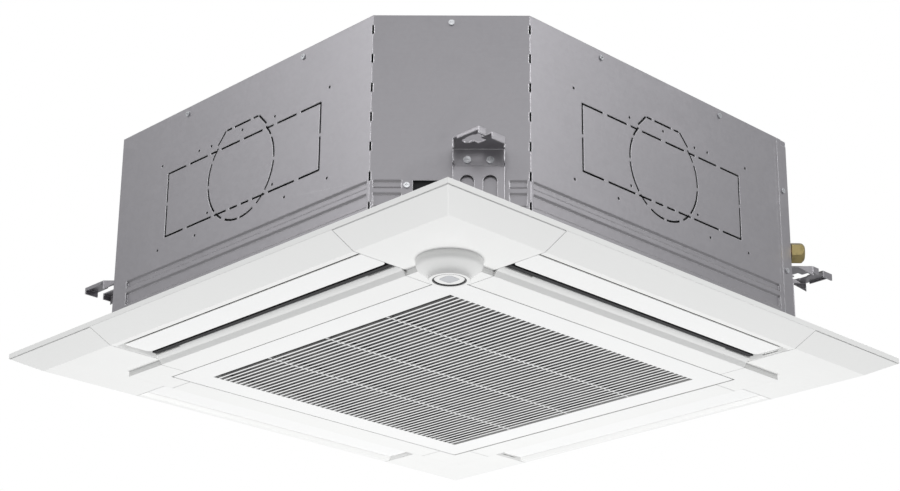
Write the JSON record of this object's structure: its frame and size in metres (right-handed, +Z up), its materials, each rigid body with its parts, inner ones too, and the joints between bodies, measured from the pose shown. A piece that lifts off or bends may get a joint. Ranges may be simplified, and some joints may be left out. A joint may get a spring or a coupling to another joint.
{
  "type": "ceiling cassette air conditioner",
  "caption": "Square ceiling cassette air conditioner with swinging air vanes, a hinged intake grille, a presence sensor and a galvanised casing hung from corner brackets.",
  "frame": {"origin": "centre of the four suspension slots, on the underside of the hanger shelves, 119 mm above the finished ceiling", "axes": "+Z up into the ceiling void, -Y the front, +X the right; the sensor is at the front right corner and the pipes are at the rear right corner"},
  "size_m": [0.95, 0.95, 0.3692],
  "materials": {
    "galvanised_sheet": "galvanised sheet steel, matte zinc with faint spangle",
    "galvanised_bracket": "thick galvanised steel, brighter cut edges",
    "bright_steel": "bright zinc plated screws, pins and shafts",
    "white_panel": "white moulded plastic, fine satin",
    "white_vane": "white moulded plastic, smooth",
    "white_grille": "white moulded plastic, fine satin",
    "sensor_lens": "milky infrared lens",
    "black_foam": "black foamed insulation",
    "filter_net": "dark plastic net in a frame",
    "coil_fins": "stacked aluminium fins",
    "copper_tube": "copper tube",
    "brass_nut": "dull machined brass",
    "fan_plastic": "light grey moulded plastic",
    "motor_can": "cast aluminium",
    "rubber": "black rubber",
    "circuit_board": "green board with dark parts",
    "grey_plastic": "grey moulded plastic"
  },
  "bodies": {
    "root": {"bell_mouth": "fan_plastic", "cable_grommets": "rubber", "casing_screws": "bright_steel", "coil_end_plates": "galvanised_sheet", "coil_headers": "copper_tube", "control_board": "circuit_board", "control_box": "galvanised_sheet", "control_box_cover": "galvanised_sheet", "corner_panel_front_left": "white_panel", "corner_panel_front_right": "white_panel", "corner_panel_rear_left": "white_panel", "corner_panel_rear_right": "white_panel", "drain_hose": "rubber", "drain_pan": "black_foam", "drain_pump_body": "grey_plastic", "drain_socket": "grey_plastic", "duct_liner": "black_foam", "fan_motor": "motor_can", "float_guide": "grey_plastic", "foam_liner": "black_foam", "front_casing_wall": "galvanised_sheet", "gas_flare_nut": "brass_nut", "gas_pipe": "copper_tube", "grille_hinge_pins": "bright_steel", "hanger_bracket_front_left": "galvanised_bracket", "hanger_bracket_front_right": "galvanised_bracket", "hanger_bracket_rear_left": "galvanised_bracket", "hanger_bracket_rear_right": "galvanised_bracket", "heat_exchanger": "coil_fins", "latch_bodies": "white_grille", "liquid_flare_nut": "brass_nut", "liquid_pipe": "copper_tube", "motor_mounts": "rubber", "panel_bolts": "bright_steel", "panel_frame": "white_panel", "panel_gasket": "black_foam", "pipe_corner_plate": "galvanised_sheet", "plain_corner_plate": "galvanised_sheet", "rear_casing_wall": "galvanised_sheet", "return_bends": "copper_tube", "sensor_motor": "rubber", "terminal_block": "grey_plastic", "top_plate": "galvanised_sheet", "vane_bearings": "grey_plastic", "vane_motors": "grey_plastic"},
    "vane_front": {"vane_front": "white_vane"},
    "vane_right": {"vane_right": "white_vane"},
    "vane_rear": {"vane_rear": "white_vane"},
    "vane_left": {"vane_left": "white_vane"},
    "grille": {"intake_grille": "white_grille"},
    "filter": {"air_filter": "filter_net"},
    "latch_left": {"latch_plunger_left": "white_grille"},
    "latch_right": {"latch_plunger_right": "white_grille"},
    "fan": {"motor_shaft": "bright_steel", "turbo_fan": "fan_plastic", "fan_nut": "bright_steel"},
    "sensor": {"sensor_head": "white_panel", "sensor_lens": "sensor_lens"},
    "pump_rotor": {"pump_impeller": "fan_plastic"},
    "float": {"float_ring": "fan_plastic"}
  },
  "joints": [
    {"name": "vane_front_swing", "type": "hinge", "parent": "root", "child": "vane_front", "pos_m": [0, -0.394, -0.129], "axis": [1, 0, 0], "range_deg": [0, 60]},
    {"name": "vane_right_swing", "type": "hinge", "parent": "root", "child": "vane_right", "pos_m": [0.394, 0, -0.129], "axis": [0, 1, 0], "range_deg": [0, 60]},
    {"name": "vane_rear_swing", "type": "hinge", "parent": "root", "child": "vane_rear", "pos_m": [0, 0.394, -0.129], "axis": [-1, 0, 0], "range_deg": [0, 60]},
    {"name": "vane_left_swing", "type": "hinge", "parent": "root", "child": "vane_left", "pos_m": [-0.394, 0, -0.129], "axis": [0, -1, 0], "range_deg": [0, 60]},
    {"name": "grille_hinge", "type": "hinge", "parent": "root", "child": "grille", "pos_m": [0, 0.292, -0.1465], "axis": [1, 0, 0], "range_deg": [0, 90]},
    {"name": "filter_lift", "type": "slide", "parent": "grille", "child": "filter", "axis": [0, 0, 1], "range_m": [0, 0.012]},
    {"name": "latch_left_press", "type": "slide", "parent": "root", "child": "latch_left", "axis": [0, 0, 1], "range_m": [0, 0.004], "stiffness_N_per_m": 500},
    {"name": "latch_right_press", "type": "slide", "parent": "root", "child": "latch_right", "axis": [0, 0, 1], "range_m": [0, 0.004], "stiffness_N_per_m": 500},
    {"name": "fan_spin", "type": "hinge", "parent": "root", "child": "fan", "pos_m": [0, 0, 0.111], "axis": [0, 0, 1], "continuous": true},
    {"name": "sensor_turn", "type": "hinge", "parent": "root", "child": "sensor", "pos_m": [0.329, -0.329, -0.169], "axis": [0, 0, 1], "range_deg": [-170, 170]},
    {"name": "pump_spin", "type": "hinge", "parent": "root", "child": "pump_rotor", "pos_m": [0.293, 0.3395, -0.059], "axis": [0, 0, 1], "continuous": true},
    {"name": "float_rise", "type": "slide", "parent": "root", "child": "float", "axis": [0, 0, 1], "range_m": [0, 0.03]}
  ]
}
